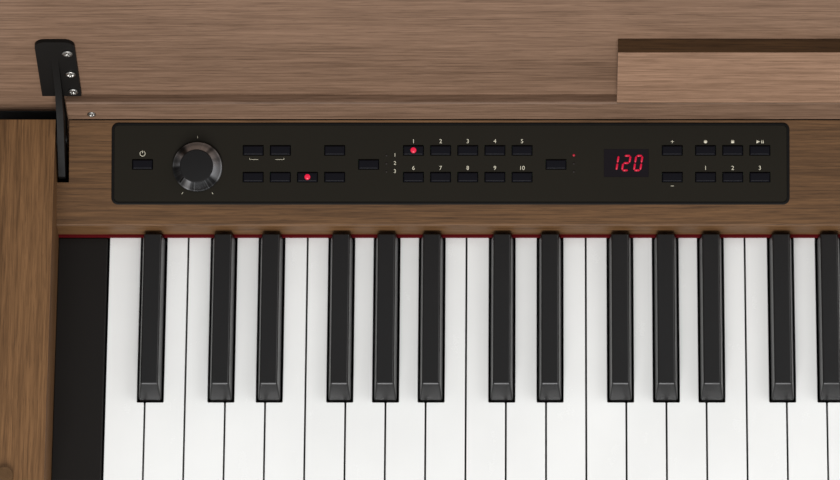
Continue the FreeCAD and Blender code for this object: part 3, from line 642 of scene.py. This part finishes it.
class PIANO_OT_lid(bpy.types.Operator):
    """Finish the lid, its strip, brackets and screws, and the music rest"""

    bl_idname = "piano.lid"
    bl_label = "Lid and music rest"

    def execute(self, context):
        looks = context.scene.piano_looks
        sideways = Vector((1, 0, 0))
        band(dressed("lid", "wood_lid", looks.board_round), "wood_lid_end", sideways)
        # The strip's darker wood is painted shade at the lid's foot
        self.lower_strip(dressed("lid_strip", "wood_strip", looks.board_round * 0.7))
        rest = dressed("music_rest", "wood_rest", looks.board_round * 0.8)
        # Painted shade: the rest's top edge and its faces that look down get the dark copy of the wood
        band(rest, "wood_edge", lid_matrix(0, 0, 0).to_3x3() @ Vector((0, 1, 0)), against=-0.12)
        band(rest, "wood_lid_end", sideways)
        dressed("lid_brackets", "steel_black", looks.metal_round)
        paint("rest_ears", "steel_black")
        paint("lid_pivots", "steel_black")
        self.screws(looks)
        # Dark sheets of painted shade at the lid's foot
        self.seals()
        return {"FINISHED"}

    def lower_strip(self, strip):
        """Brings the strip's lower edge down to the fallboard."""
        from_foot = lid_matrix(0, 0, 0).inverted()
        drop = lid_matrix(0, 0, 0).to_3x3() @ Vector((0, -STRIP_DROP * MM, 0))
        for corner in strip.data.vertices:
            if (from_foot @ corner.co).y < STRIP_EDGE * MM:
                corner.co += drop

    def screws(self, looks):
        """Screw heads on both brackets and at both ends of the strip."""
        form = bmesh.new()
        for side in (-1, 1):
            for n, up in enumerate(PLATE_SCREWS):
                turn = Matrix.Rotation(0.5 + n, 4, "Z")
                screw_head(form, looks.screw_radius, lid_matrix(side * PLATE_MIDDLE, up, PLATE_FACE) @ turn)
            place = lid_matrix(side * STRIP_SCREW[0], STRIP_SCREW[1], STRIP_FACE)
            screw_head(form, looks.screw_radius * 0.85, place @ Matrix.Rotation(0.3, 4, "Z"))
        finish_object(link_form("lid_screws", form), "screw", "lid", "steel")

    def seals(self):
        """Dark sheets at the lid's foot beside the arms: painted shade for the shadowed gap between the lid
        and the arms.
        """
        form = bmesh.new()
        near, far = SHADE_SHEET_SPAN
        low, high = SHADE_SHEET_RISE
        for side in (-1, 1):
            corners = ((near, low), (far, low), (far, high), (near, high))
            outline = in_metres([(side * x, y) for x, y in corners])
            prism(form, outline, 0.0, SHADE_SHEET_THICKNESS * MM, lid_matrix(0, 0, 0))
        finish_object(soften(link_form("lid_seals", form), 0.15 * MM, 2), "rubber", "lid", "rubber")


class PIANO_OT_keys(bpy.types.Operator):
    """Finish the keys, the felt, the end blocks and the key frame"""

    bl_idname = "piano.keys"
    bl_label = "Keyboard"

    def execute(self, context):
        looks = context.scene.piano_looks
        for node in sorted(n for n in frame["nodes"] if n.startswith("keys_")):
            if node.endswith("_sharp"):
                dressed(node, "black_key", looks.black_round, 4)
            else:
                dressed(node, "white_key", looks.white_round, 3)
        dressed("end_blocks", "block", looks.board_round * 0.8)
        paint("felt_strip", "felt")
        paint("key_frame", "frame")
        return {"FINISHED"}


class PIANO_OT_panel(bpy.types.Operator):
    """Finish the control panel, its buttons, window, lamps and marks"""

    bl_idname = "piano.panel"
    bl_label = "Control panel"

    def execute(self, context):
        looks = context.scene.piano_looks
        paint("control_panel", "panel")
        self.rim()
        paint("display_window", "window")
        paint("panel_board", "circuit")
        for node in sorted(n for n in frame["nodes"] if "_button" in n):
            dressed(node, "button", 0.25 * MM, 2)
        self.lamps(looks)
        self.digits(looks)
        self.marks()
        return {"FINISHED"}

    def rim(self):
        """A black seal round the panel."""
        form = bmesh.new()
        wide, deep = (side * MM for side in PANEL_SIZE)
        loops = []
        for grow, height in RIM_SECTION:
            radius = (PANEL_CORNER + grow) * MM
            reach = grow * MM - radius
            loop = []
            for x, y, start in ((wide + reach, deep + reach, 0), (-reach, deep + reach, 90),
                                (-reach, -reach, 180), (wide + reach, -reach, 270)):
                for degrees in range(start, start + 90 + RIM_STEP, RIM_STEP):
                    turn = math.radians(degrees)
                    spot = Vector((x + radius * math.cos(turn), y + radius * math.sin(turn), height * MM))
                    loop.append(form.verts.new(panel_matrix(0, 0) @ spot))
            loops.append(loop)
        for low, high in zip(loops, loops[1:] + loops[:1]):
            for n in range(len(low)):
                m = (n + 1) % len(low)
                form.faces.new((low[n], low[m], high[m], high[n]))
        rim = link_form("panel_rim", form)
        rim.modifiers.new("even_shading", "WEIGHTED_NORMAL")
        finish_object(rim, "rim", "case", "black_plastic")

    def lamps(self, looks):
        """Small status lamps on the panel, one of them lit, and the lamps of the two lit buttons."""
        spots = [(column, row) for column in LAMP_COLUMNS for row in LAMP_ROWS]
        lit = (LAMP_COLUMNS[1], LAMP_ROWS[0])
        for name, finish, chosen, nodes in (
            ("status_lamps", "lamp_off", [spot for spot in spots if spot != lit], ["panel_lamps"]),
            ("status_lamp_lit", "glow_small", [lit], []),
        ):
            form = bmesh.new()
            for spot in chosen:
                lathe(form, in_metres(LAMP_DOME), 20, panel_matrix(*spot))
            finish_object(link_form(name, form), finish, "case", "red_lamp", *nodes)
        lens = [(r * looks.lamp_radius, h * looks.lamp_radius) for r, h in LAMP_LENS]
        for body, column, row in (("tone_buttons_upper", TONE_COLUMN, UPPER_ROW),
                                  ("effect_buttons", MODE_COLUMN + 2 * COLUMN_PITCH, LOWER_ROW)):
            form = bmesh.new()
            lathe(form, lens, 28, panel_matrix(column, row, BUTTON_PROUD))
            finish_object(link_form(body + "_lamp", form), "glow", body, "red_lamp")

    def digits(self, looks):
        """Three slanted seven-segment digits behind the window."""
        tall = looks.digit_height
        wide = tall * DIGIT_WIDTH
        bar = tall * DIGIT_BAR
        slant = math.tan(math.radians(DIGIT_SLANT))
        # Middle of each stroke, and whether it lies level
        strokes = {
            "top": (0, tall, True), "middle": (0, tall / 2, True), "bottom": (0, 0, True),
            "upper_left": (-wide / 2, tall * 0.75, False), "upper_right": (wide / 2, tall * 0.75, False),
            "lower_left": (-wide / 2, tall * 0.25, False), "lower_right": (wide / 2, tall * 0.25, False),
        }
        form = bmesh.new()
        base = panel_matrix(*WINDOW_SPOT, 0.05)
        for n, digit in enumerate(DIGITS_SHOWN):
            centre = (n - 1) * wide * DIGIT_PITCH
            for stroke in digit:
                x, y, level = strokes[stroke]
                half = (wide if level else tall / 2) / 2 - bar * DIGIT_JOINT
                tip = half - bar / 2
                outline = [(-half, 0), (-tip, bar / 2), (tip, bar / 2),
                           (half, 0), (tip, -bar / 2), (-tip, -bar / 2)]
                if not level:
                    outline = [(b, a) for a, b in outline]
                moved = [(centre + x + a + (y + b - tall / 2) * slant, y + b - tall / 2) for a, b in outline]
                prism(form, moved, 0.0, MARK_THICKNESS * MM, base)
        finish_object(link_form("display_digits", form), "digit", "case", "red_lamp")

    def marks(self):
        """Plain printed marks: three round the knob, bracket lines and the usual symbols."""
        form = bmesh.new()
        low, high = MARK_LIFT * MM, (MARK_LIFT + MARK_THICKNESS) * MM

        def shape(outline, column, row):
            prism(form, in_metres(outline), low, high, panel_matrix(column, row))

        def block(x0, x1, y0, y1, column, row):
            shape([(x0, y0), (x1, y0), (x1, y1), (x0, y1)], column, row)

        for degrees in KNOB_MARKS:
            turn = math.radians(degrees)
            side = Vector((-math.sin(turn), math.cos(turn))) * KNOB_MARK_HALF
            inner, outer = (Vector((math.cos(turn), math.sin(turn))) * reach for reach in KNOB_MARK_REACH)
            shape([inner - side, outer - side, outer + side, inner + side], *KNOB_SPOT)
        for column, outward in ((MODE_COLUMN, -1), (MODE_COLUMN + COLUMN_PITCH, 1)):
            spot = column, UPPER_ROW - BRACKET_DROP
            block(*sorted((outward * 2.2, outward * -3.0)), -0.1, 0.1, *spot)
            block(*sorted((outward * 2.2, outward * 2.0)), 0.1, 1.1, *spot)
        power = POWER_COLUMN, MIDDLE_ROW + LABEL_RISE + 1.2
        arc = ring_outline(POWER_RADIUS, math.radians(-245), math.radians(65), 26)
        shape(arc + [(x * POWER_INSIDE, y * POWER_INSIDE) for x, y in reversed(arc)], *power)
        block(-0.17, 0.17, 0.3, 2.0, *power)
        above, below = UPPER_ROW + LABEL_RISE, LOWER_ROW - LABEL_RISE
        block(-SYMBOL_HALF, SYMBOL_HALF, -STROKE_HALF, STROKE_HALF, VALUE_COLUMN, above)
        block(-STROKE_HALF, STROKE_HALF, STROKE_HALF, SYMBOL_HALF, VALUE_COLUMN, above)
        block(-STROKE_HALF, STROKE_HALF, -SYMBOL_HALF, -STROKE_HALF, VALUE_COLUMN, above)
        block(-SYMBOL_HALF, SYMBOL_HALF, -STROKE_HALF, STROKE_HALF, VALUE_COLUMN, below)
        record, stop, play = (TRANSPORT_COLUMN + n * COLUMN_PITCH for n in range(3))
        shape(ring_outline(1.0, 0, 2 * math.pi, 24)[:-1], record, above)
        block(-SYMBOL_HALF, SYMBOL_HALF, -SYMBOL_HALF, SYMBOL_HALF, stop, above)
        shape([(-2.0, -1.0), (0.2, 0.0), (-2.0, 1.0)], play, above)
        block(0.9, 1.35, -1.0, 1.0, play, above)
        block(1.8, 2.25, -1.0, 1.0, play, above)
        finish_object(link_form("panel_marks", form), "print", "case", "black_plastic")
        self.numbers()

    def numbers(self):
        """Plain numbers by the buttons and the bank lamps."""
        labels = [(n + 1, LAMP_COLUMNS[0] + BANK_NUMBER_OFFSET, row - BANK_NUMBER_DROP, BANK_NUMBER_HEIGHT)
                  for n, row in enumerate(LAMP_ROWS)]
        upper, lower = (row + LABEL_RISE - NUMBER_DROP for row in (UPPER_ROW, LOWER_ROW))
        for n in range(5):
            column = TONE_COLUMN + n * COLUMN_PITCH
            labels += [(n + 1, column, upper, NUMBER_HEIGHT), (n + 6, column, lower, NUMBER_HEIGHT)]
        for n in range(3):
            labels.append((n + 1, TRANSPORT_COLUMN + n * COLUMN_PITCH, lower, NUMBER_HEIGHT))
        form = bmesh.new()
        for number, column, row, size in labels:
            letters = bpy.data.curves.new("number", "FONT")
            letters.body = str(number)
            letters.size = size * MM * FONT_SCALE
            letters.align_x = "CENTER"
            letters.extrude = MARK_THICKNESS * MM / 2
            holder = bpy.data.objects.new("number", letters)
            mesh = bpy.data.meshes.new_from_object(holder)
            mesh.transform(panel_matrix(column, row, MARK_LIFT + MARK_THICKNESS / 2))
            form.from_mesh(mesh)
            bpy.data.objects.remove(holder)
            bpy.data.meshes.remove(mesh)
        finish_object(link_form("panel_numbers", form), "print", "case", "black_plastic")


class PIANO_OT_knob(bpy.types.Operator):
    """Make the turned volume knob with its cap and pointer"""

    bl_idname = "piano.knob"
    bl_label = "Volume knob"

    def execute(self, context):
        place = panel_matrix(*KNOB_SPOT)
        form = bmesh.new()
        lathe(form, in_metres(KNOB_SKIRT), KNOB_SIDES, place)
        lathe(form, in_metres(KNOB_SHAFT), 32, place)
        body = link_form("knob_skirt", form)
        body.modifiers.new("even_shading", "WEIGHTED_NORMAL")
        finish_object(body, "knob_skirt", "volume_knob", "black_plastic", "volume_knob")
        form = bmesh.new()
        lathe(form, in_metres(KNOB_CAP), KNOB_SIDES, place)
        finish_object(link_form("knob_cap", form), "knob_top", "volume_knob", "black_plastic")
        self.pointer(place)
        return {"FINISHED"}

    def pointer(self, place):
        """A dark line up the knob's skirt."""
        low, high = (Vector((0, radius, height)) * MM for radius, height in POINTER_ENDS)
        along = (high - low).normalized()
        across = Vector((1, 0, 0))
        slanted = Matrix((across, along, across.cross(along))).transposed().to_4x4()
        turn = Matrix.Rotation(math.radians(POINTER_TURN), 4, "Z")
        turned = place @ turn @ Matrix.Translation(low) @ slanted
        half, length = POINTER_HALF * MM, (high - low).length
        form = bmesh.new()
        prism(form, [(-half, 0), (half, 0), (half, length), (-half, length)],
              POINTER_SUNK * MM, POINTER_PROUD * MM, turned)
        finish_object(link_form("knob_pointer", form), "rim", "volume_knob", "black_plastic")


class PIANO_OT_pedals(bpy.types.Operator):
    """Finish the three pedals"""

    bl_idname = "piano.pedals"
    bl_label = "Pedals"

    def execute(self, context):
        looks = context.scene.piano_looks
        for node in ("soft_pedal", "middle_pedal", "damper_pedal"):
            dressed(node, "brass", looks.metal_round * 3, 4)
        return {"FINISHED"}


class PIANO_OT_sound(bpy.types.Operator):
    """Finish the speakers, sockets and boards"""

    bl_idname = "piano.sound"
    bl_label = "Speakers and sockets"

    def execute(self, context):
        looks = context.scene.piano_looks
        dressed("speaker_boxes", "frame", looks.board_round)
        dressed("jack_box", "panel", looks.metal_round)
        paint("speaker_drivers", "cone")
        dressed("speaker_grilles", "steel_black", 0.3 * MM, 2)
        paint("power_inlet", "panel")
        paint("main_board", "circuit")
        return {"FINISHED"}


class PIANO_OT_stage(bpy.types.Operator):
    """Set up the floor, the light and the camera of the photograph"""

    bl_idname = "piano.stage"
    bl_label = "Floor, light and camera"

    def execute(self, context):
        looks = context.scene.piano_looks
        self.floor(looks)
        self.light(looks)
        self.camera(context)
        context.scene.view_settings.view_transform = "Standard"
        return {"FINISHED"}

    def floor(self, looks):
        form = bmesh.new()
        bmesh.ops.create_grid(form, x_segments=1, y_segments=1, size=FLOOR_HALF)
        floor = link_form("floor", form)
        finish = Finish("floor", roughness=0.7)
        cloud = finish.noise((0.8, 0.8, 0.8), 3.0)
        darker, paler = colour(looks.floor_tone, 0.97), colour(looks.floor_tone, 1.02)
        finish.feed(base_color=finish.mix(cloud, darker, paler))
        floor.data.materials.append(finish.material)

    def light(self, looks):
        world = bpy.data.worlds.new("studio")
        world.use_nodes = True
        bpy.context.scene.world = world
        tree = world.node_tree
        tree.nodes.clear()
        path = tree.nodes.new("ShaderNodeLightPath")
        soft = tree.nodes.new("ShaderNodeBackground")
        soft.inputs["Color"].default_value = SKY_TINT
        soft.inputs["Strength"].default_value = looks.sky_level
        seen = tree.nodes.new("ShaderNodeBackground")
        seen.inputs["Color"].default_value = BACKDROP
        choose = tree.nodes.new("ShaderNodeMixShader")
        out = tree.nodes.new("ShaderNodeOutputWorld")
        tree.links.new(path.outputs["Is Camera Ray"], choose.inputs[0])
        tree.links.new(soft.outputs[0], choose.inputs[1])
        tree.links.new(seen.outputs[0], choose.inputs[2])
        tree.links.new(choose.outputs[0], out.inputs[0])
        for name, place, target, size, share in LAMPS:
            lamp = bpy.data.lights.new(name, "AREA")
            lamp.size = size
            lamp.energy = looks.lamp_power * share
            holder = bpy.data.objects.new(name, lamp)
            bpy.context.scene.collection.objects.link(holder)
            holder.location = place
            holder.rotation_mode = "QUATERNION"
            holder.rotation_quaternion = (Vector(place) - Vector(target)).to_track_quat("Z", "Y")

    def camera(self, context):
        lens = bpy.data.cameras.new("camera")
        lens.sensor_width = SENSOR_WIDTH
        lens.lens = VIEW_FOCAL_PIXELS / VIEW_PIXELS * SENSOR_WIDTH
        lens.clip_end = 100.0
        holder = bpy.data.objects.new("camera", lens)
        context.scene.collection.objects.link(holder)
        lens.shift_x = VIEW_SHIFT
        turn = Euler((VIEW_TILT, 0, 0), "XYZ")
        holder.rotation_euler = turn
        holder.location = Vector(VIEW_TARGET) + turn.to_matrix() @ Vector((0, 0, VIEW_DISTANCE))
        context.scene.camera = holder


class PIANO_PT_looks(bpy.types.Panel):
    """Lists the sizes, colours and pieces in the sidebar"""

    bl_idname = "PIANO_PT_looks"
    bl_label = "Digital Piano"
    bl_space_type = "VIEW_3D"
    bl_region_type = "UI"
    bl_category = "Piano"

    def draw(self, context):
        looks = context.scene.piano_looks
        for name in looks.__annotations__:
            self.layout.prop(looks, name)
        for step in STEPS:
            self.layout.operator(step.bl_idname)


STEPS = (PIANO_OT_case, PIANO_OT_lid, PIANO_OT_keys, PIANO_OT_panel, PIANO_OT_knob, PIANO_OT_pedals,
         PIANO_OT_sound, PIANO_OT_stage)
CLASSES = (Looks, *STEPS, PIANO_PT_looks)


def register():
    for cls in CLASSES:
        bpy.utils.register_class(cls)
    bpy.types.Scene.piano_looks = PointerProperty(type=Looks)


def unregister():
    del bpy.types.Scene.piano_looks
    for cls in reversed(CLASSES):
        bpy.utils.unregister_class(cls)


def main():
    register()
    prepare_finishes(bpy.context.scene.piano_looks)
    bpy.ops.piano.case()
    bpy.ops.piano.lid()
    bpy.ops.piano.keys()
    bpy.ops.piano.panel()
    bpy.ops.piano.knob()
    bpy.ops.piano.pedals()
    bpy.ops.piano.sound()
    bpy.ops.piano.stage()


if __name__ == "__main__":
    main()
